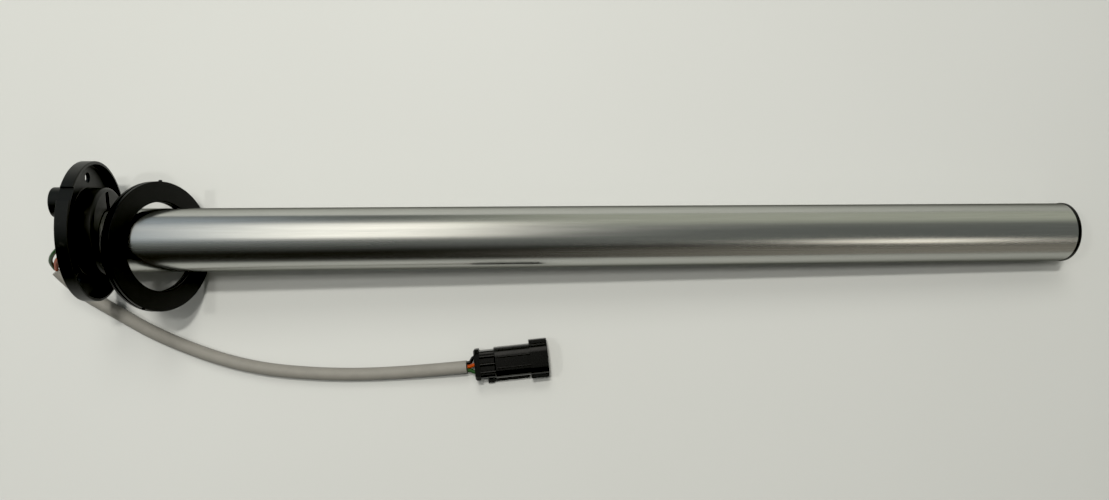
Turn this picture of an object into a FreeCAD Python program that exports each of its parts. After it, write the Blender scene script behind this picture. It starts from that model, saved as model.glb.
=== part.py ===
import FreeCAD, Part
import math
import os

# Tube-type fuel level sender, lying on a table beside its own cable and plug.
# The sender is built in its own frame: +X along the tube from the lip face of the head,
# +Y across, +Z up. It is then laid so that the head's rim and the foot cap rest on z = 0.

# head
bossR = 22.0
recessW = 11.65
lipW = 1.6
flangeT = 6.2
recessDepth = 4.3
bossEnd = 5.5
bossRound = 1.6
rimRound = 0.5
boltIn = 5.0
boltHoleR = 2.75
boltCount = 5
boltFirst = 7.0
notchAngle = 62.0
notchW = 7.5
notchDepth = 1.1
slotAngle = 14.0
slotR = 15.6
slotLong = 8.6
slotWide = 3.8
slotDepth = 7.5
slotCorner = 1.1
stubR = 7.5
stubLen = 11.5
stubChamfer = 0.6
stubAngle = 32.0
stubAt = 16.5
ventR = 1.8
ventAt = 15.8
ventAngle = 18.4
pocketR = 13.0
pocketDepth = 3.0

# tube and foot
tubeR = 16.2
tubeWall = 1.2
tubeOff = 4.9
tubeOffAngle = 194.0
tubeSeat = 1.0
tubeEnd = 518.0
bleedR = 1.5
bleedAt = 18.0
capT = 2.0
capOver = 0.25
capRound = 0.7
capPlugLen = 11.0
capWall = 1.8
inletR = 4.0
sideInlets = 4
sideInletW = 3.0
sideInletLen = 4.0
sideInletOut = 1.8
slip = 0.05

# inside the tube
rodR = 2.0
rodSink = 1.6
boardT = 2.0
headBoardAt = 6.5
wireR = 0.25
wireAt = 11.0
wireAngles = (90.0, 270.0)
wireOut = 0.8
leadR = 0.6
leadAngle = 200.0
leadOut = 1.6
drainR = 1.8
drainIn = 4.5
drainAngles = (20.0, 140.0, 320.0)
floatR = 13.2
floatLen = 42.0
floatRound = 1.0
floatSlip = 0.10
floatStop = 0.5
grooveW = 2.0
grooveFloorR = 9.6
clipT = 0.4
clipInnerR = 4.0
clipOuterR = 12.0
clipRingR = 7.0
clipArmW = 4.4
clipArmIn = 1.5
discR = 9.0
forkGap = 0.25
topStopT = 1.0
topStopR = 4.5
topStopAt = 10.0
leafT = 0.5
leafW = 5.0
leafReach = 6.0
leafOff = 1.2
footNutR = 3.6
footNutT = 2.4
terminalR = 1.1
terminalRow = (-7.0, 4.3, 8.7)
terminalHead = 1.8
terminalHeadT = 1.0
terminalOut = 1.6
touch = 0.02

# sealing rings
sealT = 1.5
sealW = 2.2
gasketOuterFit = 0.4
gasketInnerFit = 0.8
gasketT = 5.0
gasketRound = 0.5
gasketX = 27.9
gasketY = -7.9
gasketYaw = -0.4
gasketRest = 0.05
grooveGasketW = 1.0
grooveGasketDeep = 0.8
nubR = 0.9
nubOut = 0.7
nubAngles = (2.0, 160.0)

# cable, in the finished frame
jacketR = 3.5
coreR = 1.0
jacketRoute = [
    (-281.9, -16.3, 13.5),
    (-275.0, -26.2, 8.3),
    (-259.1, -37.4, 4.4),
    (-230.8, -54.5, 3.55),
    (-188.8, -70.4, 3.55),
    (-144.8, -75.4, 3.55),
    (-103.3, -75.2, 3.55),
    (-68.5, -72.2, 6.3),
]
greenRoute = [
    (-257.8, -1.4, 33.4),
    (-265.1, -1.4, 33.7),
    (-272.0, -4.2, 32.2),
    (-277.6, -7.6, 28.8),
    (-282.2, -10.6, 23.6),
    (-284.2, -12.8, 18.6),
    (-283.4, -15.6, 14.2),
]
orangeRoute = [
    (-257.8, -6.4, 31.8),
    (-264.4, -6.6, 32.0),
    (-270.6, -8.4, 30.2),
    (-275.2, -10.6, 26.2),
    (-279.0, -12.8, 20.8),
    (-281.3, -15.8, 15.9),
]
blackRoute = [
    (-257.9, -10.8, 29.5),
    (-264.1, -10.9, 29.7),
    (-270.0, -11.8, 27.2),
    (-274.4, -12.0, 22.6),
    (-278.4, -12.6, 17.8),
    (-281.2, -14.1, 14.3),
]

# plug: where the middle of its rear face is, and then its own frame, +X towards the mouth
plugAt = (-64.2, -71.1)
plugTurn = 4.9
plugHigh = 13.6
collarLen = 3.0
collarW = 16.9
collarH = 12.4
collarChamfer = 2.2
collarEdge = 0.8
neckLen = 8.0
neckW = 14.6
neckH = 10.8
neckCorner = 1.5
ribCount = 3
ribPitch = 4.3
ribW = 1.7
ribHigh = 0.9
ribCorner = 0.7
shellLen = 19.6
shellW = 16.8
shellCorner = 4.4
shellStep = 0.3
shellEdge = 0.4
frontLen = 9.7
frontW = 17.4
railOut = 1.9
railHigh = 6.0
railIn = 1.0
railCorner = 0.5
mouthW = 13.2
mouthH = 9.4
mouthCorner = 2.2
mouthDepth = 17.0
linePlaces = (-2.6, 3.4)
lineW = 0.9
lineOut = 0.25
lineDeep = 1.0
lineCorner = 0.3
latchLen = 23.0
latchAt = 6.6
latchW = 1.5
latchGap = 0.8
latchHigh = 3.0
latchUp = 0.4
latchCorner = 0.4
latchFootLen = 2.5
latchFootIn = 3.0
latchFootBack = 1.0
latchFootAhead = 0.5
rampLen = 3.4
rampOut = 1.0
wellR = 2.0
wellPitch = 4.3
wellDepth = 9.0
wireHoleR = 1.45
sealIn = 2.0
sealRibs = 3
sealCore = 0.35
contactR = 0.75
contactCrimp = 0.45
contactBack = 4.0
contactOut = 11.0
contactTip = 0.3
contactGap = 0.5
coreIn = 0.4
coreOut = 0.3
coreLead = 1.9


def vec(x, y, z):
    return FreeCAD.Vector(x, y, z)


def rod(x0, x1, r, y=0.0, z=0.0):
    """A cylinder along X from x0 to x1."""
    return Part.makeCylinder(r, x1 - x0, vec(x0, y, z), vec(1, 0, 0))


def pipe(x0, x1, outer, inner, y=0.0, z=0.0):
    return rod(x0, x1, outer, y, z).cut(rod(x0 - 1, x1 + 1, inner, y, z))


def block(x0, x1, y0, y1, z0, z1):
    return Part.makeBox(x1 - x0, y1 - y0, z1 - z0, vec(x0, y0, z0))


def polar(r, degrees):
    """The Y and Z of a point at that radius and angle from +Y towards +Z."""
    a = math.radians(degrees)
    return r * math.cos(a), r * math.sin(a)


def turned(shape, degrees, y=0.0, z=0.0):
    """The shape turned about a line along X through (y, z)."""
    s = shape.copy()
    s.rotate(vec(0, y, z), vec(1, 0, 0), degrees)
    return s


def rounded(shape, radius, keep):
    """A fillet on the edges that keep accepts."""
    edges = [e for e in shape.Edges if keep(e)]
    return shape.makeFillet(radius, edges) if edges else shape


def holesAlong(x0, x1, places, r):
    """Cutting rods along X at the (y, z) places."""
    return [rod(x0, x1, r, y, z) for y, z in places]


def circleAt(x, r):
    """Accepts the full circle of that radius at that x, on the X axis."""
    def keep(e):
        c = e.Curve
        round_ = isinstance(c, Part.Circle) and abs(c.Radius - r) < 1e-3
        return round_ and abs(e.BoundBox.XMin - x) < 1e-3 and abs(e.BoundBox.XMax - x) < 1e-3
    return keep


def flat(outline, x0, x1):
    """A prism along X from a closed wire of (y, z) corners."""
    pts = [vec(x0, y, z) for y, z in outline]
    face = Part.Face(Part.makePolygon(pts + pts[:1]))
    return face.extrude(vec(x1 - x0, 0, 0))


def softBar(x0, x1, wide, high, corner, y=0.0, z=0.0):
    """A bar along X with four long edges rounded."""
    b = block(x0, x1, y - wide / 2, y + wide / 2, z - high / 2, z + high / 2)
    long = [e for e in b.Edges if abs(e.tangentAt(e.FirstParameter).x) > 0.9]
    return b.makeFillet(corner, long)


tubeY, tubeZ = polar(tubeOff, tubeOffAngle)
flangeR = bossR + recessW + lipW
boltCircleR = bossR + boltIn
gasketOuterR = flangeR - lipW - gasketOuterFit
gasketInnerR = bossR + gasketInnerFit
boreR = tubeR - tubeWall
capR = tubeR + capOver
capEnd = tubeEnd + capT
footIn = tubeEnd - capPlugLen
tilt = math.degrees(math.atan((flangeR + tubeZ - capR) / capEnd))
webFace = -flangeT + pocketDepth
sealAt = tubeSeat - sealT
footBoardAt = footIn - boardT - slip
floatHigh = footBoardAt - leafT - floatStop - clipT
floatLow = floatHigh - floatLen
floatTravel = floatLow - clipT - (topStopAt + topStopT) - floatStop


def flangeHead():
    head = rounded(rod(-flangeT, 0, flangeR), rimRound, circleAt(0, flangeR))
    head = rounded(head, rimRound, circleAt(-flangeT, flangeR))
    recess = pipe(-recessDepth, 1, flangeR - lipW, bossR - 1)
    boss = rounded(rod(-flangeT, bossEnd, bossR), bossRound, circleAt(bossEnd, bossR))
    stubY, stubZ = polar(stubAt, stubAngle)
    stub = rod(-flangeT - stubLen, -flangeT + 1, stubR, stubY, stubZ)
    end = [e for e in stub.Edges if isinstance(e.Curve, Part.Circle) and e.BoundBox.XMax < -flangeT]
    stub = stub.makeChamfer(stubChamfer, end)
    head = head.cut(recess).fuse([boss, stub])
    cuts = [rod(tubeSeat - sealT, bossEnd + 1, tubeR + slip, tubeY, tubeZ)]
    cuts.append(rod(-flangeT - 1, webFace, pocketR, tubeY, tubeZ))
    bolts = [polar(boltCircleR, boltFirst + i * 360 / boltCount) for i in range(boltCount)]
    cuts += holesAlong(-flangeT - 1, 1, bolts, boltHoleR)
    cuts.append(rod(sealAt - rodSink, sealAt + 1, rodR + slip, tubeY, tubeZ))
    cuts += holesAlong(webFace - 1, sealAt + 1, terminalPlaces(), terminalR + slip)
    # the vent passage: a narrow slot in the boss, then a round bore through the stub
    slotY, slotZ = polar(slotR, slotAngle)
    slotFloor = bossEnd - slotDepth
    slot = softBar(slotFloor, bossEnd + 1, slotLong, slotWide, slotCorner, slotY, slotZ)
    cuts.append(turned(slot, slotAngle, slotY, slotZ))
    ventY, ventZ = polar(ventAt, ventAngle)
    cuts.append(rod(-flangeT - stubLen - 1, slotFloor + slip, ventR, ventY, ventZ))
    notch = block(-flangeT - 1, 1, flangeR - notchDepth, flangeR + 2, -notchW / 2, notchW / 2)
    cuts.append(turned(notch, notchAngle))
    return head.cut(cuts)


def terminalPlaces():
    """The terminals stand in a row across the web, clear of the guide rod."""
    return [(tubeY + y, tubeZ) for y in terminalRow]


def outerTube():
    tube = pipe(tubeSeat, tubeEnd, tubeR, boreR, tubeY, tubeZ)
    bleed = Part.makeCylinder(bleedR, tubeR + 2, vec(bleedAt, tubeY, tubeZ), vec(0, 0, -1))
    return tube.cut(bleed)


def footCap():
    rim = rod(tubeEnd, capEnd, capR, tubeY, tubeZ)
    edge = [e for e in rim.Edges if isinstance(e.Curve, Part.Circle) and e.BoundBox.XMin > capEnd - 1e-3]
    rim = rim.makeFillet(capRound, edge)
    plug = pipe(footIn, tubeEnd, boreR - slip, boreR - slip - capWall, tubeY, tubeZ)
    cap = rim.fuse(plug).cut(rod(tubeEnd - 1, capEnd + 1, inletR, tubeY, tubeZ))
    near = inletR + sideInletOut
    for k in range(sideInlets):
        slot = block(tubeEnd - 1, capEnd + 1, near, near + sideInletLen, -sideInletW / 2, sideInletW / 2)
        slot.translate(vec(0, tubeY, tubeZ))
        cap = cap.cut(turned(slot, (k + 0.5) * 360 / sideInlets, tubeY, tubeZ))
    return cap


def tubeSeal():
    return pipe(sealAt, tubeSeat, tubeR, tubeR - sealW, tubeY, tubeZ)


def guideRod():
    return rod(sealAt - rodSink + slip, footBoardAt + boardT + footNutT, rodR, tubeY, tubeZ)


def around(r, angles):
    """Places on a circle about the tube's axis."""
    return [(tubeY + y, tubeZ + z) for y, z in (polar(r, a) for a in angles)]


def board(at, extra):
    """A disc across the tube with holes for the rod, the two wires and the lead, and extra cuts."""
    x0, x1 = at - 1, at + boardT + 1
    cuts = holesAlong(x0, x1, [(tubeY, tubeZ)], rodR + slip)
    cuts += holesAlong(x0, x1, around(wireAt, wireAngles), wireR + slip)
    cuts += holesAlong(x0, x1, around(wireAt, [leadAngle]), leadR + slip)
    return rod(at, at + boardT, boreR - slip, tubeY, tubeZ).cut(cuts + extra)


def headBoard():
    pins = holesAlong(headBoardAt - 1, headBoardAt + boardT + 1, terminalPlaces(), terminalR + slip)
    return board(headBoardAt, pins)


def footBoard():
    places = around(boreR - drainIn, drainAngles)
    return board(footBoardAt, holesAlong(footBoardAt - 1, footBoardAt + boardT + 1, places, drainR))


def resistanceWire(angle):
    y, z = around(wireAt, [angle])[0]
    return rod(headBoardAt - wireOut, footBoardAt + boardT + wireOut, wireR, y, z)


def warningLead():
    y, z = around(wireAt, [leadAngle])[0]
    return rod(headBoardAt - leadOut, footBoardAt + boardT + leadOut, leadR, y, z)


def terminals():
    pins = []
    face = headBoardAt + boardT
    for y, z in terminalPlaces():
        pin = rod(webFace - terminalOut, face + terminalHeadT, terminalR, y, z)
        collar = rod(face + touch, face + terminalHeadT, terminalHead, y, z)
        pins.append(pin.fuse(collar))
    return Part.makeCompound(pins)


def potting():
    fill = rod(-flangeT, webFace, pocketR - slip, tubeY, tubeZ)
    return fill.cut(holesAlong(webFace - terminalOut - slip, webFace + 1, terminalPlaces(), terminalR + slip))


def topStop():
    return pipe(topStopAt, topStopAt + topStopT, topStopR, rodR + slip, tubeY, tubeZ)


def footNut():
    corners = [polar(footNutR, 60 * k) for k in range(6)]
    at = footBoardAt + boardT
    nut = flat([(tubeY + y, tubeZ + z) for y, z in corners], at, at + footNutT)
    return nut.cut(rod(at - 1, at + footNutT + 1, rodR + slip, tubeY, tubeZ))


def warningContact():
    """A leaf on the foot board, beside the rod, that the float's disc comes down on."""
    y0 = tubeY + rodR + leafOff
    half = leafW / 2
    return block(footBoardAt - leafT, footBoardAt, y0, y0 + leafReach, tubeZ - half, tubeZ + half)


def floatBody():
    body = rod(floatLow, floatHigh, floatR, tubeY, tubeZ)
    ends = [e for e in body.Edges if isinstance(e.Curve, Part.Circle)]
    body = body.makeFillet(floatRound, ends)
    cuts = [rod(floatLow - 1, floatHigh + 1, rodR + floatSlip, tubeY, tubeZ)]
    for angle in wireAngles + (leadAngle,):
        groove = block(floatLow - 1, floatHigh + 1, grooveFloorR, floatR + 1, -grooveW / 2, grooveW / 2)
        groove.translate(vec(0, tubeY, tubeZ))
        cuts.append(turned(groove, angle, tubeY, tubeZ))
    return body.cut(cuts)


def floatClip():
    """The sprung clip on the float's head end: a ring with two forks that bridge the wires."""
    ring = pipe(floatLow - clipT, floatLow, clipRingR, clipInnerR, tubeY, tubeZ)
    arm = block(floatLow - clipT, floatLow, clipRingR - clipArmIn, clipOuterR, -clipArmW / 2, clipArmW / 2)
    fork = wireR + forkGap
    slot = block(floatLow - 1, floatLow + 1, wireAt - fork, clipOuterR + 1, -fork, fork)
    arm = arm.cut(slot)
    arm.translate(vec(0, tubeY, tubeZ))
    return ring.fuse([turned(arm, angle, tubeY, tubeZ) for angle in wireAngles])


def floatDisc():
    """The contact disc on the float's foot end, which closes the warning circuit."""
    return pipe(floatHigh, floatHigh + clipT, discR, clipInnerR, tubeY, tubeZ)


def laid(shape):
    """From the sender's own frame to the table, with the rim and the foot cap on z = 0."""
    s = shape.copy()
    s.rotate(vec(0, 0, 0), vec(0, 1, 0), tilt)
    s.translate(vec(0, 0, flangeR * math.cos(math.radians(tilt))))
    return s


def gasket():
    """The loose ring: round rubber section with a groove in its edge and two moulding nubs."""
    half = gasketT / 2
    ring = pipe(-half, half, gasketOuterR, gasketInnerR)
    ring = ring.makeFillet(gasketRound, [e for e in ring.Edges if isinstance(e.Curve, Part.Circle)])
    edge = pipe(-grooveGasketW / 2, grooveGasketW / 2, gasketOuterR + 1, gasketOuterR - grooveGasketDeep)
    bore = pipe(-grooveGasketW / 2, grooveGasketW / 2, gasketInnerR + grooveGasketDeep, gasketInnerR - 1)
    ring = ring.cut([edge, bore])
    nubs = []
    for angle in nubAngles:
        nub = Part.makeCylinder(nubR, nubOut + 1, vec(half / 2, gasketOuterR - 1, 0), vec(0, 1, 0))
        nubs.append(turned(nub, angle))
    return ring.fuse(nubs)


def leanedEdge(lean):
    """The ring's placement at that lean, and the edge of its bore that meets the tube."""
    a = math.radians(lean)
    inner = gasketRound
    up = (gasketOuterR - inner) * math.cos(a) + (gasketT / 2 - inner) * math.sin(a) + inner
    spin = FreeCAD.Rotation(vec(0, 0, 1), gasketYaw).multiply(FreeCAD.Rotation(vec(0, 1, 0), -lean))
    place = FreeCAD.Placement(vec(gasketX, gasketY, up), spin)
    ring = Part.makeCircle(gasketInnerR, vec(-gasketT / 2, 0, 0), vec(1, 0, 0))
    ring.Placement = place
    return place, ring


def gasketPlace():
    """The ring leans back until its bore rests on the tube."""
    line = laid(Part.makeLine(vec(0, tubeY, tubeZ), vec(capEnd, tubeY, tubeZ)))
    low, high = 5.0, 60.0
    for _ in range(24):
        mid = (low + high) / 2
        away = leanedEdge(mid)[1].distToShape(line)[0]
        low, high = (mid, high) if away > tubeR + gasketRest else (low, mid)
    print("gasket lean %.2f" % low)
    return leanedEdge(low)[0]


def cordPath(points, name):
    """Straight runs joined by tangent arcs, each as large as its two runs allow."""
    pts = [vec(*p) for p in points]
    edges, at = [], pts[0]
    for a, b, c in zip(pts, pts[1:], pts[2:]):
        into, out = b - a, c - b
        turn = into.getAngle(out)
        short = min(into.Length, out.Length)
        cut = 0.45 * short
        radius = cut / math.tan(turn / 2)
        print("%s radius %.1f" % (name, radius))
        start = b - into * (cut / into.Length)
        end = b + out * (cut / out.Length)
        inward = (out * (1 / out.Length) - into * (1 / into.Length)).normalize()
        middle = b + inward * (radius / math.cos(turn / 2) - radius)
        edges.append(Part.LineSegment(at, start).toShape())
        edges.append(Part.Arc(start, middle, end).toShape())
        at = end
    edges.append(Part.LineSegment(at, pts[-1]).toShape())
    return Part.Wire(edges)


def cord(points, r, name):
    path = cordPath(points, name)
    first = vec(*points[1]) - vec(*points[0])
    ring = Part.Wire(Part.makeCircle(r, vec(*points[0]), first))
    tube = path.makePipeShell([ring], True, False)
    ratio = tube.Volume / (math.pi * r * r * path.Length)
    print("%s length %.1f volume ratio %.4f" % (name, path.Length, ratio))
    return tube


def plugPlace():
    turn = FreeCAD.Rotation(vec(0, 0, 1), plugTurn)
    return FreeCAD.Placement(vec(plugAt[0], plugAt[1], plugHigh / 2), turn)


neckAt = collarLen
shellAt = neckAt + neckLen
frontAt = shellAt + shellLen
mouthEnd = frontAt + frontLen
mouthFloor = mouthEnd - mouthDepth


def wellRow():
    return [(i - 1) * wellPitch for i in range(3)]


def plugCollar():
    """The rear retainer that holds the wire seals in."""
    c = collarChamfer
    w, h = collarW / 2, collarH / 2
    quarter = [(w - c, -h), (w, -h + c), (w, h - c), (w - c, h)]
    outline = quarter + [(-y, z) for y, z in reversed(quarter)]
    body = flat(outline, 0, collarLen)
    body = body.makeChamfer(collarEdge, [e for e in body.Edges if e.BoundBox.XMax < 1e-3])
    return body.cut([rod(-1, collarLen + 1, wireHoleR, y) for y in wellRow()])


def plugHousing():
    neck = softBar(neckAt, shellAt + 1, neckW, neckH, neckCorner)
    ribs = []
    for i in range(ribCount):
        y = (i - (ribCount - 1) / 2) * ribPitch
        ribs.append(softBar(neckAt, shellAt + 1, ribW, neckH + 2 * ribHigh, ribCorner, y))
    shell = softBar(shellAt, frontAt + 1, shellW, plugHigh - 2 * shellStep, shellCorner)
    shell = shell.makeChamfer(shellEdge, [e for e in shell.Edges if e.BoundBox.XMax < shellAt + 1e-3])
    front = softBar(frontAt, mouthEnd, frontW, plugHigh, shellCorner)
    wide = railOut + 2 * railIn
    rails = []
    for side in (-1, 1):
        y = side * (frontW / 2 + railOut - wide / 2)
        rails.append(softBar(frontAt, mouthEnd, wide, railHigh, railCorner, y))
    top = plugHigh / 2 - shellStep
    high = lineDeep + lineOut
    lines = []
    for y in linePlaces:
        lines.append(softBar(shellAt + 1, mouthEnd - 1, lineW, high, lineCorner, y, top + lineOut - high / 2))
    body = neck.fuse(ribs + [shell, front] + rails + lines + latchArm())
    cuts = [softBar(mouthFloor, mouthEnd + 1, mouthW, mouthH, mouthCorner)]
    for y in wellRow():
        cuts.append(rod(neckAt - 1, neckAt + wellDepth, wellR, y))
        cuts.append(rod(neckAt, mouthFloor + 1, contactR + contactGap, y))
    return body.cut(cuts)


def latchArm():
    """The locking arm low on one side, joined to the shell at both ends."""
    near = -shellW / 2 - latchGap
    far = near - latchW
    z0 = -plugHigh / 2 + latchUp
    z1 = z0 + latchHigh
    middle = (near + far) / 2
    end = latchAt + latchLen
    arm = softBar(latchAt, end, latchW, latchHigh, latchCorner, middle, (z0 + z1) / 2)
    feet = []
    for x in (shellAt + latchFootBack, end - latchFootLen - latchFootAhead):
        foot = block(x, x + latchFootLen, middle, latchFootIn - shellW / 2, z0 + latchUp, z1 - latchUp)
        feet.append(foot)
    ramp = [(near, z0), (far - rampOut, z0), (far - rampOut / 2, z1), (near, z1)]
    return [arm, flat(ramp, latchAt, latchAt + rampLen)] + feet


def wireSeals():
    """Three ribbed seals, one round each wire."""
    seals = []
    x0, x1 = neckAt + touch, neckAt + wellDepth - sealIn
    step = (x1 - x0) / sealRibs
    for y in wellRow():
        rings = []
        for i in range(sealRibs):
            at = x0 + (i + 0.5) * step
            rings.append(pipe(at - step / 5, at + step / 5, wellR - slip, coreR + slip, y))
        seals.append(pipe(x0, x1, wellR - sealCore, coreR + slip, y).fuse(rings))
    return Part.makeCompound(seals)


def plugWire(i, place):
    """One core from the end of the jacket to its contact, spreading to its own well."""
    y = wellRow()[i]
    end = place.inverse().multVec(vec(*jacketRoute[-1]))
    start = end.x + coreOut
    near = end.y + (i - 1) * (2 * coreR + slip)
    last = neckAt + wellDepth + coreIn
    points = [(start, near, end.z), (start + coreLead, near, end.z), (-coreIn, y, 0.0), (last, y, 0.0)]
    return cord(points, coreR, "plug_wire")


def contacts():
    """Three blade pins that reach into the mouth."""
    pins = []
    back = mouthFloor - contactBack
    for y in wellRow():
        barrel = rod(neckAt + wellDepth + contactGap, back, contactR + contactCrimp, y)
        pin = rod(back - 1, mouthFloor + contactOut, contactR, y)
        tip = [e for e in pin.Edges if isinstance(e.Curve, Part.Circle) and e.BoundBox.XMin > mouthFloor]
        pins.append(barrel.fuse(pin.makeChamfer(contactTip, tip)))
    return Part.makeCompound(pins)


os.makedirs("parts", exist_ok=True)

sender = {
    "flange_head": flangeHead(),
    "outer_tube": outerTube(),
    "foot_cap": footCap(),
    "tube_seal": tubeSeal(),
    "guide_rod": guideRod(),
    "head_board": headBoard(),
    "foot_board": footBoard(),
    "gauge_wire": resistanceWire(wireAngles[0]),
    "return_wire": resistanceWire(wireAngles[1]),
    "warning_lead": warningLead(),
    "warning_contact": warningContact(),
    "head_terminals": terminals(),
    "terminal_potting": potting(),
    "rod_stop_washer": topStop(),
    "rod_nut": footNut(),
    "float_body": floatBody(),
    "float_contact_clip": floatClip(),
    "float_contact_disc": floatDisc(),
}
nodes = {name: laid(shape) for name, shape in sender.items()}
ring = gasket()
ring.Placement = gasketPlace()
nodes["tank_gasket"] = ring

box = Part.makeCompound(list(nodes.values())).optimalBoundingBox(False, False)
shift = vec(-(box.XMin + box.XMax) / 2, -(box.YMin + box.YMax) / 2, 0)
for shape in nodes.values():
    shape.translate(shift)
print("shift", shift, "tilt", tilt, "box", box)

nodes["cable_jacket"] = cord(jacketRoute, jacketR, "cable_jacket")
nodes["head_wire_green"] = cord(greenRoute, coreR, "head_wire_green")
nodes["head_wire_orange"] = cord(orangeRoute, coreR, "head_wire_orange")
nodes["head_wire_black"] = cord(blackRoute, coreR, "head_wire_black")

place = plugPlace()
plug = {
    "plug_retainer": plugCollar(),
    "plug_housing": plugHousing(),
    "plug_wire_seals": wireSeals(),
    "plug_contacts": contacts(),
    "plug_wire_green": plugWire(0, place),
    "plug_wire_orange": plugWire(1, place),
    "plug_wire_black": plugWire(2, place),
}
for name, shape in plug.items():
    shape.Placement = place
    nodes[name] = shape

for name, shape in nodes.items():
    shape.exportStep("parts/%s.step" % name)
    print(name, len(shape.Solids), shape.isValid(), round(shape.Volume, 1))
print("float travel", floatTravel)
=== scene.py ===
import math

import bmesh
import bpy
from mathutils import Matrix, Vector


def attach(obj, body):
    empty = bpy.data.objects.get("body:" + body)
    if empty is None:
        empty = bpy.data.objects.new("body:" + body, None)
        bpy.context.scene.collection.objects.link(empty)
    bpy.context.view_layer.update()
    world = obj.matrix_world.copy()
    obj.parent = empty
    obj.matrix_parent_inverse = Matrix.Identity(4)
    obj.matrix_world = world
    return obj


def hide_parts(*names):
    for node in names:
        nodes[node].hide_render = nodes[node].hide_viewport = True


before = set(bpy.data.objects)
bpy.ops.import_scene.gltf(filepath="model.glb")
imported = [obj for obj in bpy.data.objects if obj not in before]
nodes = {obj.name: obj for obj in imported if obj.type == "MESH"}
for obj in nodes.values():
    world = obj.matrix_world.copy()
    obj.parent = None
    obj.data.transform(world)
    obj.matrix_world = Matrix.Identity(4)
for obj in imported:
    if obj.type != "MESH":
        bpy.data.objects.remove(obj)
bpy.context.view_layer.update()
mm = 0.001
arcSteps = 5  # flats in each rounded corner of a turned outline

# the sender's own frame runs along the tube from the lip face of its head; it lies tipped on the table
lay = {
    "tilt": math.radians(1.9401),
    "shiftX": -251.284,
    "shiftY": 2.956,
    "flangeR": 35.25,
}
laid = (
    Matrix.Translation((lay["shiftX"], lay["shiftY"], lay["flangeR"] * math.cos(lay["tilt"])))
    @ Matrix.Rotation(lay["tilt"], 4, "Y")
)
ownFrame = Matrix.Diagonal((mm, mm, mm, 1)) @ laid


def hexLinear(text):
    shades = [int(text[i : i + 2], 16) / 255 for i in (1, 3, 5)]
    return tuple(s / 12.92 if s <= 0.04045 else ((s + 0.055) / 1.055) ** 2.4 for s in shades) + (1.0,)


def addNode(tree, kind, settings=None, values=None, links=None):
    node = tree.nodes.new(kind)
    for name, value in (settings or {}).items():
        setattr(node, name, value)
    for socket, value in (values or {}).items():
        node.inputs[socket].default_value = value
    for socket, source in (links or {}).items():
        tree.links.new(source, node.inputs[socket])
    return node


def meshObject(name, shape, material, place=None):
    mesh = bpy.data.meshes.new(name)
    shape.to_mesh(mesh)
    shape.free()
    if place is not None:
        mesh.transform(place)
    mesh.materials.append(material)
    thing = bpy.data.objects.new(name, mesh)
    bpy.context.scene.collection.objects.link(thing)
    return thing


def rounded(points, closed):
    # a run of (x, r, round) corners with each corner turned in a small arc
    line = []
    count = len(points)
    for i, point in enumerate(points):
        size = point[2] if len(point) > 2 else 0.0
        if not size or (not closed and i in (0, count - 1)):
            line.append(Vector(point[:2]))
            continue
        here = Vector(point[:2])
        back = (Vector(points[i - 1][:2]) - here).normalized()
        ahead = (Vector(points[(i + 1) % count][:2]) - here).normalized()
        half = back.angle(ahead) / 2
        start = here + back * (size / math.tan(half))
        end = here + ahead * (size / math.tan(half))
        middle = here + (back + ahead).normalized() * (size / math.sin(half))
        first, last = start - middle, end - middle
        swing = first.angle(last)
        for k in range(arcSteps + 1):
            f = k / arcSteps
            spoke = first * math.sin((1 - f) * swing) + last * math.sin(f * swing)
            line.append(middle + spoke / math.sin(swing))
    return line


def turnedForm(points, closed=False, steps=192):
    # a solid turned about X from its outline in x and r; an open outline starts and ends on the axis
    shape = bmesh.new()
    rings = []
    for x, r in rounded(points, closed):
        if r < 1e-6:
            rings.append([shape.verts.new((x, 0, 0))])
            continue
        turns = [2 * math.pi * k / steps for k in range(steps)]
        rings.append([shape.verts.new((x, r * math.cos(a), r * math.sin(a))) for a in turns])
    pairs = list(zip(rings, rings[1:])) + ([(rings[-1], rings[0])] if closed else [])
    for one, two in pairs:
        for k in range(steps):
            n = (k + 1) % steps
            corners = [one[k % len(one)], one[n % len(one)], two[n % len(two)], two[k % len(two)]]
            shape.faces.new(list(dict.fromkeys(corners)))
    bmesh.ops.recalc_face_normals(shape, faces=shape.faces)
    return shape


def peg(x0, x1, r, flare=0.0, steps=64):
    # a round cutter along X whose ends open out by flare, so the hole it makes has a broken edge
    if not flare:
        return turnedForm([(x0, 0), (x0, r), (x1, r), (x1, 0)], steps=steps)
    return turnedForm([(x0 - 1, 0), (x0 - 1, r + flare + 1), (x0 + flare, r), (x1 - flare, r),
                       (x1 + 1, r + flare + 1), (x1 + 1, 0)], steps=steps)


def bar(x0, x1, wide, high, corner):
    # a bar along X with its long edges rounded
    shape = bmesh.new()
    ends = []
    for x in (x0, x1):
        ring = []
        for cy, cz, start in ((1, 1, 0), (-1, 1, 90), (-1, -1, 180), (1, -1, 270)):
            for k in range(7):
                a = math.radians(start + 15 * k)
                ring.append(shape.verts.new((x, cy * (wide / 2 - corner) + corner * math.cos(a),
                                             cz * (high / 2 - corner) + corner * math.sin(a))))
        ends.append(ring)
    count = len(ends[0])
    for k in range(count):
        n = (k + 1) % count
        shape.faces.new((ends[0][k], ends[0][n], ends[1][n], ends[1][k]))
    shape.faces.new(ends[0])
    shape.faces.new(ends[1])
    bmesh.ops.recalc_face_normals(shape, faces=shape.faces)
    return shape


def settle(thing):
    # what the modifiers give, as a plain mesh on an object without them
    bpy.context.view_layer.update()
    seen = thing.evaluated_get(bpy.context.evaluated_depsgraph_get())
    mesh = bpy.data.meshes.new_from_object(seen)
    thing.modifiers.clear()
    old, thing.data = thing.data, mesh
    bpy.data.meshes.remove(old)
    mesh.name = thing.name
    return thing


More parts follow.
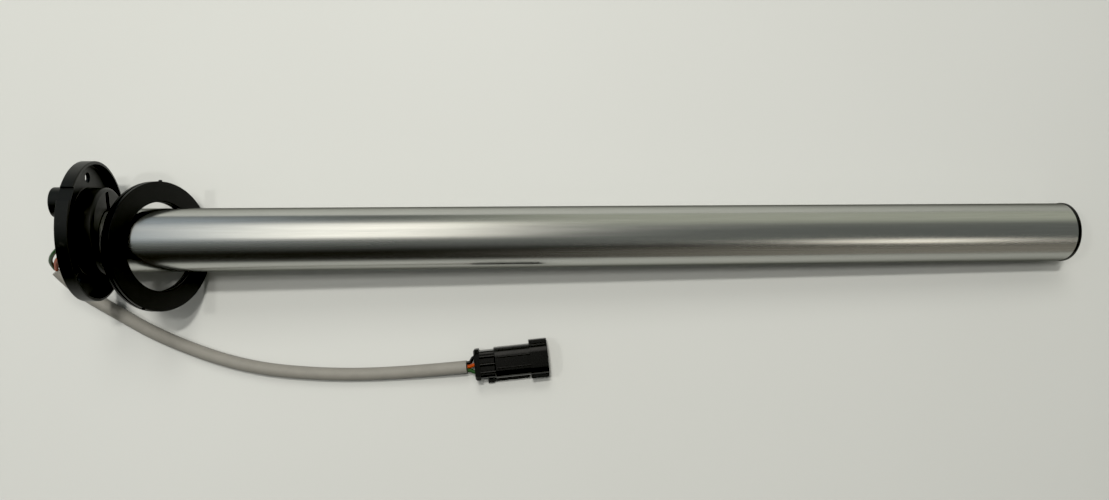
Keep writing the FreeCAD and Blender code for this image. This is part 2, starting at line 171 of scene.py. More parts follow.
def carve(thing, tools):
    # tools: (way, shape, place) in mm, joined to or cut from the thing one after another
    used = []
    for way, shape, place in tools:
        tool = meshObject("tool", shape, thing.data.materials[0], place)
        change = thing.modifiers.new("carve", "BOOLEAN")
        change.operation = way
        change.solver = "EXACT"
        change.object = tool
        used.append(tool)
    settle(thing)
    for tool in used:
        bpy.data.objects.remove(tool)
    return thing


def smoothEdges(thing, degrees=32.0):
    thing.data.shade_smooth()
    thing.data.set_sharp_from_angle(angle=math.radians(degrees))
    weigh = thing.modifiers.new("weigh", "WEIGHTED_NORMAL")
    weigh.keep_sharp = True
    return settle(thing)


def finished(thing, place, slot, *stands):
    thing.data.transform(place)
    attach(thing, "sender")
    if stands:
        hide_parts(*stands)
    return thing


def at(y, z, degrees=0.0):
    # a place beside the X axis, and a turn about X there
    return Matrix.Translation((0, y, z)) @ Matrix.Rotation(math.radians(degrees), 4, "X")


def quarter(axis):
    return Matrix.Rotation(math.radians(90), 4, axis)


def polar(r, degrees):
    a = math.radians(degrees)
    return r * math.cos(a), r * math.sin(a)


def aim(thing, target):
    way = Vector(target) - thing.location
    thing.rotation_euler = way.to_track_quat("-Z", "Y").to_euler()


camera = {
    # place in mm; turns in radians, from looking straight down
    "place": (-51.73, -18.96, 485.97),
    "lens": 28.09,
    "yaw": -0.0672,
    "pitch": 0.0226,
    "roll": -0.0131,
    "sensor": 36.0,
    "clip": (0.01, 20.0),
}


def makeCamera():
    seen = bpy.data.cameras.new("camera")
    seen.lens = camera["lens"]
    seen.sensor_width = camera["sensor"]
    seen.clip_start, seen.clip_end = camera["clip"]
    thing = bpy.data.objects.new("camera", seen)
    bpy.context.scene.collection.objects.link(thing)
    turn = (
        Matrix.Rotation(camera["roll"], 4, "Z")
        @ Matrix.Rotation(camera["yaw"], 4, "Y")
        @ Matrix.Rotation(camera["pitch"], 4, "X")
    )
    thing.matrix_world = Matrix.Translation(Vector(camera["place"]) * mm) @ turn
    bpy.context.scene.camera = thing
    print("camera ready")


table = {
    "size": 6.0,
    "colour": "#b3b4b1",
    "cloud": "#adaeaa",
    "rough": 0.5,
    "cloudsPerMetre": 3.0,
}


def makeTable():
    material = bpy.data.materials.new("paintedTable")
    material.use_nodes = True
    tree = material.node_tree
    tree.nodes.clear()
    where = addNode(tree, "ShaderNodeTexCoord")
    cloud = addNode(tree, "ShaderNodeTexNoise", values={"Scale": table["cloudsPerMetre"], "Detail": 2.0},
                    links={"Vector": where.outputs["Object"]})
    shade = addNode(tree, "ShaderNodeMix", {"data_type": "RGBA"},
                    {"A": hexLinear(table["colour"]), "B": hexLinear(table["cloud"])},
                    {"Factor": cloud.outputs["Fac"]})
    paint = addNode(tree, "ShaderNodeBsdfPrincipled", values={"Roughness": table["rough"]},
                    links={"Base Color": shade.outputs["Result"]})
    addNode(tree, "ShaderNodeOutputMaterial", links={"Surface": paint.outputs["BSDF"]})
    shape = bmesh.new()
    half = table["size"] / 2
    signs = ((-1, -1), (1, -1), (1, 1), (-1, 1))
    corners = [shape.verts.new((x * half, y * half, 0)) for x, y in signs]
    shape.faces.new(corners)
    top = meshObject("table_top", shape, material)
    print("table ready")


# a dim room with soft bright panes; angles are in degrees from straight up, "across" the tube towards
# the far side of the table and "along" it towards the foot, each with a soft edge
room = {
    "dark": ("#8a877c", 0.05),
    "lampColour": "#fffdf8",
    "lampsAimAt": (-0.05, 0.0, 0.02),
    "black": 0.008,  # what a camera gives as full black
    "panes": (
        # across from, to, soft, along from, to, soft, colour, strength
        (-1, 55, 18, -12.5, 3, 7, "#fffaf0", 1.75),
        (-8, 84, 36, -90, -11, 8, "#ccdaea", 0.42),
        (-34, 110, 40, -90, 90, 8, "#eef4ee", 0.16),
        (44, 110, 28, 2, 90, 16, "#f2f4dc", 0.36),
        (-110, -52, 26, 12, 90, 30, "#f4ecdc", 0.27),
        (-41, -25, 8, 27.5, 32, 4, "#fff8ea", 4.5),
    ),
}
lamps = (
    # name, angle across, angle along, distance m, width m, length m, power W
    ("windowNear", 8, -7, 1.5, 0.04, 0.15, 5.0),
    ("windowMain", 17, -7, 1.5, 0.06, 0.20, 15.0),
    ("windowWide", 38, -7, 1.5, 0.50, 0.40, 7.0),
    ("windowLeft", 4, -32, 1.5, 0.06, 0.06, 3.5),
)


def makeRoom():
    world = bpy.data.worlds.new("softRoom")
    bpy.context.scene.world = world
    world.use_nodes = True
    tree = world.node_tree
    tree.nodes.clear()
    where = addNode(tree, "ShaderNodeTexCoord")
    parts = addNode(tree, "ShaderNodeSeparateXYZ", links={"Vector": where.outputs["Generated"]})
    across = addNode(tree, "ShaderNodeMath", {"operation": "ARCTAN2"},
                     links={0: parts.outputs["Y"], 1: parts.outputs["Z"]}).outputs["Value"]
    along = addNode(tree, "ShaderNodeMath", {"operation": "ARCSINE"},
                    links={0: parts.outputs["X"]}).outputs["Value"]

    def step(source, low, high):
        return addNode(tree, "ShaderNodeMapRange", {"interpolation_type": "SMOOTHSTEP"},
                       {"From Min": math.radians(low), "From Max": math.radians(high)},
                       {"Value": source}).outputs["Result"]

    def times(a, b):
        return addNode(tree, "ShaderNodeMath", {"operation": "MULTIPLY"},
                       links={0: a, 1: b}).outputs["Value"]

    def glowOf(shade, bright):
        return tuple(c * bright for c in hexLinear(shade)[:3]) + (1.0,)

    total = addNode(tree, "ShaderNodeRGB").outputs[0]
    total.default_value = glowOf(*room["dark"])
    for low, high, soft, left, right, softAlong, shade, bright in room["panes"]:
        mask = times(step(across, low - soft / 2, low + soft / 2),
                     step(across, high + soft / 2, high - soft / 2))
        if left > -90:
            mask = times(mask, step(along, left - softAlong / 2, left + softAlong / 2))
        if right < 90:
            mask = times(mask, step(along, right + softAlong / 2, right - softAlong / 2))
        total = addNode(tree, "ShaderNodeMix",
                        {"data_type": "RGBA", "blend_type": "ADD", "clamp_result": False},
                        {"B": glowOf(shade, bright)}, {"Factor": mask, "A": total}).outputs["Result"]
    glow = addNode(tree, "ShaderNodeBackground", links={"Color": total})
    addNode(tree, "ShaderNodeOutputWorld", links={"Surface": glow.outputs["Background"]})
    target = Vector(room["lampsAimAt"])
    for name, angle, lean, far, width, length, power in lamps:
        light = bpy.data.lights.new(name, "AREA")
        light.shape = "RECTANGLE"
        light.size = length
        light.size_y = width
        light.energy = power
        light.color = hexLinear(room["lampColour"])[:3]
        thing = bpy.data.objects.new(name, light)
        bpy.context.scene.collection.objects.link(thing)
        a, b = math.radians(angle), math.radians(lean)
        thing.location = target + far * Vector((math.tan(b), math.tan(a), 1.0)).normalized()
        aim(thing, target)
        thing.visible_glossy = False  # the room's own panes are what gloss and metal mirror
    view = bpy.context.scene.view_settings
    view.view_transform = "Standard"
    view.look = "None"
    view.use_curve_mapping = True
    view.curve_mapping.black_level = (room["black"],) * 3
    view.curve_mapping.update()
    print("light ready")


# colour and shade are mixed in clouds of cloudMm; rough is the middle and swing the change of
# roughness; grainMm and grainHigh (mm) are the fine relief; scuff is how much pale wear shows
wear = {"colour": "#8f8d86", "from": 0.60, "full": 0.80}
looks = {
    # glass-filled nylon, injection moulded: near black, a soft sheen and a fine spark-eroded grain
    "head_plastic": ("mouldedNylonHead", {
        "colour": "#0b0c0a", "shade": "#060605", "cloudMm": 9.0, "rough": 0.40, "swing": 0.10,
        "grainMm": 0.35, "grainHigh": 0.012, "scuff": 0.06, "specular": 0.34}),
    "foot_plastic": ("mouldedNylonFoot", {
        "colour": "#0a0a09", "shade": "#050505", "cloudMm": 6.0, "rough": 0.38, "swing": 0.08,
        "grainMm": 0.35, "grainHigh": 0.010, "scuff": 0.04, "specular": 0.3}),
    # nitrile rubber, pressed: deep satin black
    "gasket_rubber": ("nitrileRubberRing", {
        "colour": "#020202", "shade": "#010101", "cloudMm": 12.0, "rough": 0.44, "swing": 0.08,
        "grainMm": 0.5, "grainHigh": 0.006, "scuff": 0.0, "specular": 0.3}),
    "seal_rubber": ("siliconeSealRubber", {
        "colour": "#3a2a22", "shade": "#2c1f19", "cloudMm": 4.0, "rough": 0.5, "swing": 0.06,
        "grainMm": 0.4, "grainHigh": 0.006, "scuff": 0.0, "specular": 0.4}),
    # soft PVC: grey, drawn on, slightly chalky
    "jacket_vinyl": ("greyVinylJacket", {
        "colour": "#7d7b74", "shade": "#6e6c66", "cloudMm": 7.0, "rough": 0.48, "swing": 0.10,
        "grainMm": 0.6, "grainHigh": 0.010, "scuff": 0.15, "specular": 0.45}),
    "wire_green": ("greenVinylWire", {
        "colour": "#163c10", "shade": "#0f2c0b", "cloudMm": 5.0, "rough": 0.36, "swing": 0.08,
        "grainMm": 0.5, "grainHigh": 0.004, "scuff": 0.05, "specular": 0.5}),
    "wire_orange": ("orangeVinylWire", {
        "colour": "#963c06", "shade": "#7a2e05", "cloudMm": 5.0, "rough": 0.36, "swing": 0.08,
        "grainMm": 0.5, "grainHigh": 0.004, "scuff": 0.05, "specular": 0.5}),
    "wire_black": ("blackVinylWire", {
        "colour": "#0d0d0c", "shade": "#070707", "cloudMm": 5.0, "rough": 0.36, "swing": 0.08,
        "grainMm": 0.5, "grainHigh": 0.004, "scuff": 0.05, "specular": 0.5}),
    "lead_insulation": ("glassSleeving", {
        "colour": "#b9a070", "shade": "#a88f60", "cloudMm": 2.0, "rough": 0.6, "swing": 0.08,
        "grainMm": 0.3, "grainHigh": 0.010, "scuff": 0.0, "specular": 0.4}),
    # PBT, moulded: black with a slightly oily gloss
    "plug_plastic": ("mouldedPbtPlug", {
        "colour": "#030303", "shade": "#010101", "cloudMm": 6.0, "rough": 0.27, "swing": 0.06,
        "grainMm": 0.35, "grainHigh": 0.004, "scuff": 0.0, "specular": 0.45}),
    "retainer_plastic": ("mouldedPbtCollar", {
        "colour": "#040404", "shade": "#020202", "cloudMm": 5.0, "rough": 0.40, "swing": 0.10,
        "grainMm": 0.35, "grainHigh": 0.004, "scuff": 0.0, "specular": 0.4}),
    "float_plastic": ("foamedNitrileFloat", {
        "colour": "#171614", "shade": "#0f0e0d", "cloudMm": 3.0, "rough": 0.7, "swing": 0.08,
        "grainMm": 0.8, "grainHigh": 0.05, "scuff": 0.1, "specular": 0.35}),
    "potting_resin": ("epoxyPotting", {
        "colour": "#15130f", "shade": "#0c0b09", "cloudMm": 5.0, "rough": 0.22, "swing": 0.06,
        "grainMm": 3.0, "grainHigh": 0.06, "scuff": 0.0, "specular": 0.5}),
    "board_laminate": ("paperPhenolicBoard", {
        "colour": "#7b4a24", "shade": "#66391a", "cloudMm": 2.5, "rough": 0.4, "swing": 0.08,
        "grainMm": 0.4, "grainHigh": 0.008, "scuff": 0.05, "specular": 0.5}),
    # metals: turned or drawn
    "rod_steel": ("zincPlatedSteel", {
        "colour": "#b9babb", "shade": "#a2a3a2", "cloudMm": 4.0, "rough": 0.30, "swing": 0.08,
        "grainMm": 0.5, "grainHigh": 0.004, "scuff": 0.0, "metal": 1.0}),
    "resistance_alloy": ("nickelChromeWire", {
        "colour": "#a29c92", "shade": "#8d877d", "cloudMm": 2.0, "rough": 0.34, "swing": 0.06,
        "grainMm": 0.3, "grainHigh": 0.004, "scuff": 0.0, "metal": 1.0}),
    "contact_bronze": ("tinnedBronze", {
        "colour": "#c3b08a", "shade": "#ab9770", "cloudMm": 2.5, "rough": 0.28, "swing": 0.06,
        "grainMm": 0.4, "grainHigh": 0.004, "scuff": 0.0, "metal": 1.0}),
    "terminal_brass": ("turnedBrass", {
        "colour": "#c9a961", "shade": "#b08f4b", "cloudMm": 2.5, "rough": 0.28, "swing": 0.06,
        "grainMm": 0.4, "grainHigh": 0.004, "scuff": 0.0, "metal": 1.0}),
}


def plainSurface(name, look):
    material = bpy.data.materials.new(name)
    material.use_nodes = True
    tree = material.node_tree
    tree.nodes.clear()
    where = addNode(tree, "ShaderNodeTexCoord").outputs["Object"]
    cloud = addNode(tree, "ShaderNodeTexNoise",
                    values={"Scale": 1 / (look["cloudMm"] * mm), "Detail": 3.0, "Roughness": 0.6},
                    links={"Vector": where}).outputs["Fac"]
    tone = addNode(tree, "ShaderNodeMix", {"data_type": "RGBA"},
                   {"A": hexLinear(look["shade"]), "B": hexLinear(look["colour"])}, {"Factor": cloud})
    colour = tone.outputs["Result"]
    if look["scuff"]:
        # pale rubs, in short patches about a third of a cloud across
        rub = addNode(tree, "ShaderNodeTexNoise",
                      values={"Scale": 3 / (look["cloudMm"] * mm), "Detail": 6.0, "Roughness": 0.7},
                      links={"Vector": where}).outputs["Fac"]
        patch = addNode(tree, "ShaderNodeMapRange",
                        values={"From Min": wear["from"], "From Max": wear["full"],
                                "To Max": look["scuff"]},
                        links={"Value": rub}).outputs["Result"]
        colour = addNode(tree, "ShaderNodeMix", {"data_type": "RGBA"}, {"B": hexLinear(wear["colour"])},
                         {"Factor": patch, "A": colour}).outputs["Result"]
    rough = addNode(tree, "ShaderNodeMapRange",
                    values={"To Min": look["rough"] - look["swing"],
                            "To Max": look["rough"] + look["swing"]},
                    links={"Value": cloud}).outputs["Result"]
    grain = addNode(tree, "ShaderNodeTexNoise",
                    values={"Scale": 1 / (look["grainMm"] * mm), "Detail": 2.0},
                    links={"Vector": where}).outputs["Fac"]
    relief = addNode(tree, "ShaderNodeBump",
                     values={"Strength": 1.0, "Distance": look["grainHigh"] * mm},
                     links={"Height": grain}).outputs["Normal"]
    values = {"Metallic": look.get("metal", 0.0)}
    if not look.get("metal"):
        values["Specular IOR Level"] = look["specular"]
    shader = addNode(tree, "ShaderNodeBsdfPrincipled", values=values,
                     links={"Base Color": colour, "Roughness": rough, "Normal": relief})
    addNode(tree, "ShaderNodeOutputMaterial", links={"Surface": shader.outputs["BSDF"]})
    return material


def makeMaterials():
    made = {slot: plainSurface(name, look) for slot, (name, look) in looks.items()}
    made["tube_aluminium"] = tubeSurface()
    print("materials ready:", len(made))
    return made


tubeLook = {
    # drawn and brushed aluminium tube: bright, streaked along its length
    "bright": "#d6d7d4",
    "dull": "#bfc0bb",
    "rough": (0.17, 0.30),
    "streakMm": 0.45,
    "streakLong": 60.0,
    "streakHigh": 0.0035,
    "broadMm": 6.0,  # the wider bands, which change the gloss
    "broadRange": (0.3, 0.7),
    "grazing": (0.15, 0.15, 0.14, 1.0),  # keeps the tube's flanks from turning white
}


def tubeSurface():
    material = bpy.data.materials.new("brushedAluminiumTube")
    material.use_nodes = True
    tree = material.node_tree
    tree.nodes.clear()
    where = addNode(tree, "ShaderNodeTexCoord").outputs["Object"]
    # the tube slopes by the lay's tilt, so the pattern is turned to run along it
    along = addNode(tree, "ShaderNodeMapping", values={"Rotation": (0.0, -lay["tilt"], 0.0)},
                    links={"Vector": where}).outputs["Vector"]
    squeezed = addNode(tree, "ShaderNodeMapping",
                       values={"Scale": (1 / tubeLook["streakLong"], 1.0, 1.0)},
                       links={"Vector": along}).outputs["Vector"]
    streak = addNode(tree, "ShaderNodeTexNoise",
                     values={"Scale": 1 / (tubeLook["streakMm"] * mm), "Detail": 3.0, "Roughness": 0.65},
                     links={"Vector": squeezed}).outputs["Fac"]
    broad = addNode(tree, "ShaderNodeTexNoise",
                    values={"Scale": 1 / (tubeLook["broadMm"] * mm), "Detail": 2.0},
                    links={"Vector": squeezed}).outputs["Fac"]
    tone = addNode(tree, "ShaderNodeMix", {"data_type": "RGBA"},
                   {"A": hexLinear(tubeLook["dull"]), "B": hexLinear(tubeLook["bright"])},
                   {"Factor": streak}).outputs["Result"]
    rough = addNode(tree, "ShaderNodeMapRange",
                    values={"From Min": tubeLook["broadRange"][0], "From Max": tubeLook["broadRange"][1],
                            "To Min": tubeLook["rough"][0], "To Max": tubeLook["rough"][1]},
                    links={"Value": broad}).outputs["Result"]
    relief = addNode(tree, "ShaderNodeBump",
                     values={"Strength": 1.0, "Distance": tubeLook["streakHigh"] * mm},
                     links={"Height": streak}).outputs["Normal"]
    shader = addNode(tree, "ShaderNodeBsdfPrincipled",
                     values={"Metallic": 1.0, "Specular Tint": tubeLook["grazing"]},
                     links={"Base Color": tone, "Roughness": rough, "Normal": relief})
    addNode(tree, "ShaderNodeOutputMaterial", links={"Surface": shader.outputs["BSDF"]})
    return material


cable = {
    "jacket": {
        "radius": 0.0035, "length": 0.230,
        "route": [
            (-0.2819, -0.0163, 0.0135), (-0.2750, -0.0262, 0.0083), (-0.2591, -0.0374, 0.0044),
            (-0.2308, -0.0545, 0.00355), (-0.1888, -0.0704, 0.00355), (-0.1448, -0.0754, 0.00355),
            (-0.1033, -0.0752, 0.00355), (-0.0685, -0.0722, 0.0063)],
    },
    "headCores": {
        "radius": 0.0010,
        "green": {
            "length": 0.0405,
            "route": [
                (-0.2578, -0.0014, 0.0334), (-0.2651, -0.0014, 0.0337), (-0.2716, -0.0042, 0.0324),
                (-0.2768, -0.0076, 0.0290), (-0.2808, -0.0106, 0.0240), (-0.2828, -0.0130, 0.0190),
                (-0.2830, -0.0156, 0.0142)]},
        "orange": {
            "length": 0.033,
            "route": [
                (-0.2578, -0.0064, 0.0318), (-0.2644, -0.0066, 0.0320), (-0.2706, -0.0082, 0.0304),
                (-0.2756, -0.0102, 0.0266), (-0.2796, -0.0126, 0.0212), (-0.2816, -0.0160, 0.0158)]},
        "black": {
            "length": 0.030,
            "route": [
                (-0.2579, -0.0108, 0.0295), (-0.2641, -0.0109, 0.0297), (-0.2700, -0.0118, 0.0272),
                (-0.2744, -0.0120, 0.0226), (-0.2784, -0.0126, 0.0178), (-0.2812, -0.0141, 0.0143)]},
    },
}


def cordCurve(name, route, radius, material):
    line = bpy.data.curves.new(name, "CURVE")
    line.dimensions = "3D"
    spline = line.splines.new("NURBS")
    spline.points.add(len(route) - 1)
    for point, place in zip(spline.points, route):
        point.co = (*place, 1.0)
    spline.order_u = 3
    spline.use_endpoint_u = True
    spline.resolution_u = 12
    line.bevel_depth = radius
    line.bevel_resolution = 6
    line.use_fill_caps = True
    line.materials.append(material)
    thing = bpy.data.objects.new(name, line)
    bpy.context.scene.collection.objects.link(thing)
    return thing


def makeCable(materials):
    jacket = cable["jacket"]
    sleeve = cordCurve("grey_cable", jacket["route"], jacket["radius"], materials["jacket_vinyl"])
    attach(sleeve, "sender")
    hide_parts("cable_jacket")
    coreR = cable["headCores"]["radius"]
    for colour in ("green", "orange", "black"):
        core = cable["headCores"][colour]
        name = "head_core_" + colour
        wire = cordCurve(name, core["route"], coreR, materials["wire_" + colour])
        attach(wire, "sender")
        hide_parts("head_wire_" + colour)
    print("cable ready")


head = {
    # mm in the sender's own frame: x from the lip face, r from the rim's axis
    "rimR": 35.25,
    "thick": 6.2,
    "lip": 1.6,
    "recess": 4.3,
    "bossR": 22.0,
    "bossEnd": 5.5,
    "bossRound": 1.6,
    "tubeR": 16.2,
    "tubeAt": polar(4.9, 194.0),
    "slip": 0.05,
    "mouth": (0.5, 1.55),  # how deep the tube seat's open edge goes, and its width past the tube
    "seat": -0.5,
    "rodSeat": (2.05, 1.6),  # radius, depth
    "bolts": (27.0, 7.0, 5, 2.75),  # circle, first angle, count, hole radius
    "stub": (7.5, 11.5, 16.5, 32.0),  # radius, length, distance out, angle
    "stubRound": 0.6,
    "slot": (8.6, 3.8, 1.1, 15.6, 14.0, -2.0),  # long, wide, corner, distance out, angle, floor
    "vent": (1.8, 15.8, 18.4),  # radius, distance out, angle
    "notch": (7.5, 1.1, 62.0),  # wide, deep, angle
    "pocket": (13.0, 3.0),  # radius, deep
    "pins": (1.15, (-7.0, 4.3, 8.7)),  # radius, places along the row
    "over": 1.0,  # how far a cutter runs past the face it opens
}


def treeInputs(tree, **kinds):
    for name, kind in kinds.items():
        tree.interface.new_socket(name, in_out="INPUT", socket_type="NodeSocket" + kind)
    tree.interface.new_socket("Geometry", in_out="OUTPUT", socket_type="NodeSocketGeometry")
    return addNode(tree, "NodeGroupInput").outputs


def treeEnd(tree, geometry, material):
    # every tree ends in real faces that carry their material
    real = addNode(tree, "GeometryNodeRealizeInstances", links={"Geometry": geometry})
    dressed = addNode(tree, "GeometryNodeSetMaterial",
                      links={"Geometry": real.outputs["Geometry"], "Material": material})
    addNode(tree, "NodeGroupOutput", links={"Geometry": dressed.outputs["Geometry"]})
    return tree


def boltTree():
    # round cutters evenly on a circle
    tree = bpy.data.node_groups.new("boltCircle", "GeometryNodeTree")
    given = treeInputs(tree, Count="Int", Circle="Float", Radius="Float", Depth="Float",
                       Turn="Float", Material="Material")
    circle = addNode(tree, "GeometryNodeMeshCircle",
                     links={"Vertices": given["Count"], "Radius": given["Circle"]})
    turn = addNode(tree, "ShaderNodeCombineXYZ", links={"Z": given["Turn"]})
    turned = addNode(tree, "GeometryNodeTransform",
                     links={"Geometry": circle.outputs["Mesh"], "Rotation": turn.outputs["Vector"]})
    pin = addNode(tree, "GeometryNodeMeshCylinder", values={"Vertices": 48},
                  links={"Radius": given["Radius"], "Depth": given["Depth"]})
    placed = addNode(tree, "GeometryNodeInstanceOnPoints",
                     links={"Points": turned.outputs["Geometry"], "Instance": pin.outputs["Mesh"]})
    return treeEnd(tree, placed.outputs["Instances"], given["Material"])


def grow(name, tree, values):
    # runs a node tree once and keeps its result as a plain mesh
    thing = bpy.data.objects.new(name, bpy.data.meshes.new(name))
    bpy.context.scene.collection.objects.link(thing)
    change = thing.modifiers.new("grow", "NODES")
    change.node_group = tree
    for socket in tree.interface.items_tree:
        if socket.in_out == "INPUT":
            change[socket.identifier] = values[socket.name]
    return settle(thing)


def makeHead(materials):
    h = head
    back = -h["thick"]
    face, over = h["bossEnd"], h["over"]
    flange = meshObject("head_moulding", turnedForm([
        (back, 0), (back, h["rimR"], 0.5), (0, h["rimR"], 0.5), (0, h["rimR"] - h["lip"], 0.25),
        (-h["recess"], h["rimR"] - h["lip"], 0.5), (-h["recess"], h["bossR"], 0.5),
        (face, h["bossR"], h["bossRound"]), (face, 0)]), materials["head_plastic"])
    circle, first, count, holeR = h["bolts"]
    pins = grow("boltCutters", boltTree(), {
        "Count": count, "Circle": circle, "Radius": holeR, "Depth": 3 * h["thick"],
        "Turn": math.radians(first), "Material": materials["head_plastic"]})
    # the tree's circle lies across Z, the sender's across X
    pins.data.transform(quarter("Y") @ quarter("Z"))
    holes = bmesh.new()
    holes.from_mesh(pins.data)
    bpy.data.objects.remove(pins)
    y, z = h["tubeAt"]
    stubR, stubLen, stubAt, stubTurn = h["stub"]
    long, wide, corner, slotAt, slotTurn, slotFloor = h["slot"]
    ventR, ventAt, ventTurn = h["vent"]
    notchW, notchDeep, notchTurn = h["notch"]
    pocketR, pocketDeep = h["pocket"]
    pinR, pinRow = h["pins"]
    rodR, rodDeep = h["rodSeat"]
    mouthDeep, mouthOut = h["mouth"]
    seatR = h["tubeR"] + h["slip"]
    stub = turnedForm([(back - stubLen, 0), (back - stubLen, stubR, h["stubRound"]),
                       (back + over, stubR), (back + over, 0)], steps=96)
    tubeSeat = turnedForm([(h["seat"], 0), (h["seat"], seatR), (face - mouthDeep, seatR),
                           (face + over, h["tubeR"] + mouthOut), (face + over, 0)])
    ventHole = peg(back - stubLen - over, slotFloor + 0.05, ventR, steps=48)
    notchOut = h["rimR"] - notchDeep + 2.0  # the cutter is 4 mm high, so its middle is 2 mm out
    tools = [("UNION", stub, at(*polar(stubAt, stubTurn))),
             ("DIFFERENCE", holes, Matrix()),
             ("DIFFERENCE", tubeSeat, at(y, z)),
             ("DIFFERENCE", peg(back - over, back + pocketDeep, pocketR, steps=96), at(y, z)),
             ("DIFFERENCE", bar(slotFloor, face + over, long, wide, corner),
              at(*polar(slotAt, slotTurn), slotTurn)),
             ("DIFFERENCE", ventHole, at(*polar(ventAt, ventTurn))),
             ("DIFFERENCE", bar(back - over, over, 4.0, notchW, 0.3),
              at(*polar(notchOut, notchTurn), notchTurn)),
             ("DIFFERENCE", peg(h["seat"] - rodDeep, h["seat"] + over, rodR, steps=32), at(y, z))]
    for off in pinRow:
        tools.append(("DIFFERENCE", peg(back, over, pinR, steps=24), at(y + off, z)))
    finished(smoothEdges(carve(flange, tools)), ownFrame, "head_plastic", "flange_head")
    print("head ready")


ring = {
    # the loose rubber ring, in mm, leaning back on the tube
    "outerR": 33.25,
    "innerR": 22.8,
    "thick": 5.0,
    "round": 0.5,
    "groove": (1.0, 0.8),  # wide, deep
    "nubs": (0.9, 0.7, (2.0, 160.0)),  # radius, how far out, angles
    "at": (27.9, -7.9),
    "yaw": -0.4,
    "lean": 25.82,
}


def makeRing(materials):
    half = ring["thick"] / 2
    wide, deep = ring["groove"]
    r, outer, inner = ring["round"], ring["outerR"], ring["innerR"]
    body = meshObject("tank_ring", turnedForm([
        (-half, outer, r), (-wide / 2, outer, 0.15), (-wide / 2, outer - deep, 0.1),
        (wide / 2, outer - deep, 0.1), (wide / 2, outer, 0.15), (half, outer, r),
        (half, inner, r), (wide / 2, inner, 0.15),
        (wide / 2, inner + deep, 0.1), (-wide / 2, inner + deep, 0.1), (-wide / 2, inner, 0.15),
        (-half, inner, r)], closed=True), materials["gasket_rubber"])
    nubR, nubOut, turns = ring["nubs"]
    tools = []
    for angle in turns:
        nub = turnedForm([(outer - 1, 0), (outer - 1, nubR), (outer + nubOut, nubR, 0.3),
                          (outer + nubOut, 0)], steps=32)
        # turned up from X to the ring's own radius, beside the ring's face
        spin = (Matrix.Rotation(math.radians(angle), 4, "X")
                @ Matrix.Translation((half - nubR - 0.1, 0, 0)) @ quarter("Z"))
        tools.append(("UNION", nub, spin))
    carve(body, tools)
    lean = math.radians(ring["lean"])
    high = (outer - r) * math.cos(lean) + (half - r) * math.sin(lean) + r
    x, y = ring["at"]
    place = (Matrix.Diagonal((mm, mm, mm, 1))
             @ Matrix.Translation((x + lay["shiftX"], y + lay["shiftY"], high))
             @ Matrix.Rotation(math.radians(ring["yaw"]), 4, "Z") @ Matrix.Rotation(-lean, 4, "Y"))
    finished(smoothEdges(body), place, "gasket_rubber", "tank_gasket")
    print("ring ready")


tube = {
    "radius": 16.2,
    "wall": 1.2,
    "from": 1.0,
    "to": 518.0,
    "edge": 0.2,
    "steps": 256,
    "bleed": (1.5, 18.0),  # radius, distance from the lip face
}


def sleeveTree():
    # a wall's section carried round a circle
    tree = bpy.data.node_groups.new("drawnSleeve", "GeometryNodeTree")
    given = treeInputs(tree, Length="Float", Radius="Float", Wall="Float", Edge="Float",
                       Steps="Int", Material="Material")
    half = addNode(tree, "ShaderNodeMath", {"operation": "MULTIPLY"}, {1: 0.5},
                   {0: given["Wall"]}).outputs[0]
    middle = addNode(tree, "ShaderNodeMath", {"operation": "SUBTRACT"},
                     links={0: given["Radius"], 1: half})
    path = addNode(tree, "GeometryNodeCurvePrimitiveCircle",
                   links={"Resolution": given["Steps"], "Radius": middle.outputs[0]})
    wall = addNode(tree, "GeometryNodeCurvePrimitiveQuadrilateral",
                   links={"Width": given["Wall"], "Height": given["Length"]})
    soft = addNode(tree, "GeometryNodeFilletCurve", {"mode": "POLY"}, {"Count": 3},
                   {"Curve": wall.outputs["Curve"], "Radius": given["Edge"]})
    swept = addNode(tree, "GeometryNodeCurveToMesh",
                    links={"Curve": path.outputs["Curve"], "Profile Curve": soft.outputs["Curve"]})
    return treeEnd(tree, swept.outputs["Mesh"], given["Material"])


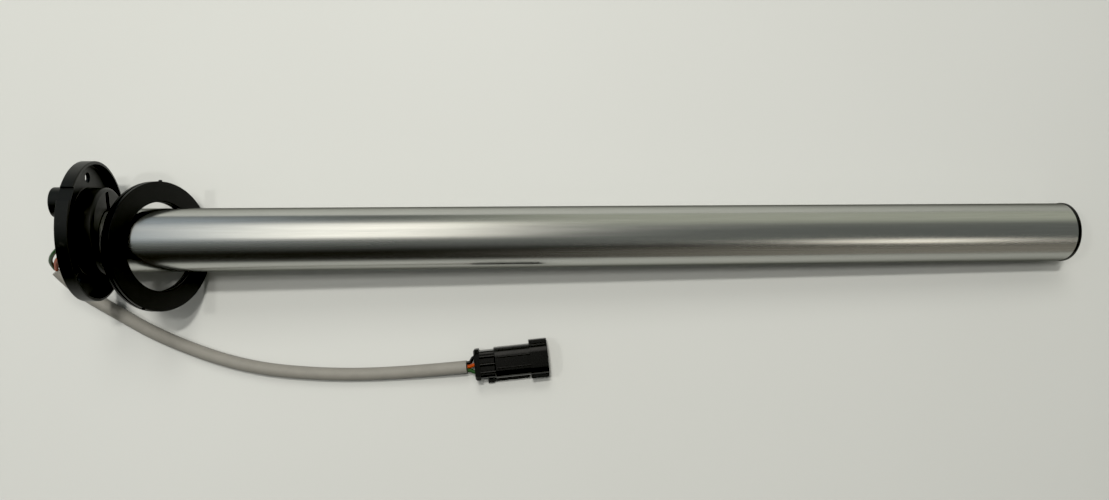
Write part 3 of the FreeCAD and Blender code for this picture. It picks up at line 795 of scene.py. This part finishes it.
def makeTube(materials):
    long = tube["to"] - tube["from"]
    sleeve = grow("tube_sleeve", sleeveTree(), {
        "Length": long, "Radius": tube["radius"], "Wall": tube["wall"], "Edge": tube["edge"],
        "Steps": tube["steps"], "Material": materials["tube_aluminium"]})
    y, z = head["tubeAt"]
    sleeve.data.transform(Matrix.Translation((tube["from"] + long / 2, y, z)) @ quarter("Y"))
    form = bmesh.new()
    form.from_mesh(sleeve.data)
    bmesh.ops.recalc_face_normals(form, faces=form.faces)
    form.to_mesh(sleeve.data)
    form.free()
    drillR, drillAt = tube["bleed"]
    drill = peg(0, tube["radius"] + 2, drillR, steps=32)
    down = Matrix.Translation((drillAt, y, z)) @ quarter("Y")
    carve(sleeve, [("DIFFERENCE", drill, down)])
    finished(smoothEdges(sleeve), ownFrame, "tube_aluminium", "outer_tube")
    print("tube ready")


foot = {
    "rimR": 16.45,
    "end": 520.0,
    "round": 0.7,
    "plug": (507.0, 14.95, 13.15),  # inner end, radius, bore radius
    "inletR": 4.0,
    "slots": (4, 5.8, 4.0, 3.0),  # count, distance out, long, wide
}


def makeFoot(materials):
    f = foot
    inner, plugR, boreR = f["plug"]
    top = tube["to"]
    cap = meshObject("foot_plug", turnedForm([
        (f["end"], 0), (f["end"], f["rimR"], f["round"]), (top, f["rimR"], 0.15), (top, plugR),
        (inner, plugR, 0.3), (inner, boreR, 0.3), (top, boreR, 0.3), (top, 0)]), materials["foot_plastic"])
    y, z = head["tubeAt"]
    tools = [("DIFFERENCE", peg(top, f["end"], f["inletR"], 0.25), at(0, 0))]
    count, near, long, wide = f["slots"]
    for k in range(count):
        slit = bar(top - 1, f["end"] + 1, long, wide, 0.4)
        turn = math.radians((k + 0.5) * 360 / count)
        place = Matrix.Rotation(turn, 4, "X") @ Matrix.Translation((0, near + long / 2, 0))
        tools.append(("DIFFERENCE", slit, place))
    place = ownFrame @ Matrix.Translation((0, y, z))
    finished(smoothEdges(carve(cap, tools)), place, "foot_plastic", "foot_cap")
    print("foot ready")


def dressNodes(materials):
    # the frame's materials are named for their slots, some with a number behind a dot
    for name, node in sorted(nodes.items()):
        for place in node.material_slots:
            slot = place.material.name.split(".")[0] if place.material else ""
            if slot in materials:
                place.material = materials[slot]
    print("nodes dressed:", len(nodes))


makeCamera()
makeTable()
makeRoom()
materials = makeMaterials()
makeCable(materials)
makeHead(materials)
makeRing(materials)
makeTube(materials)
makeFoot(materials)
dressNodes(materials)
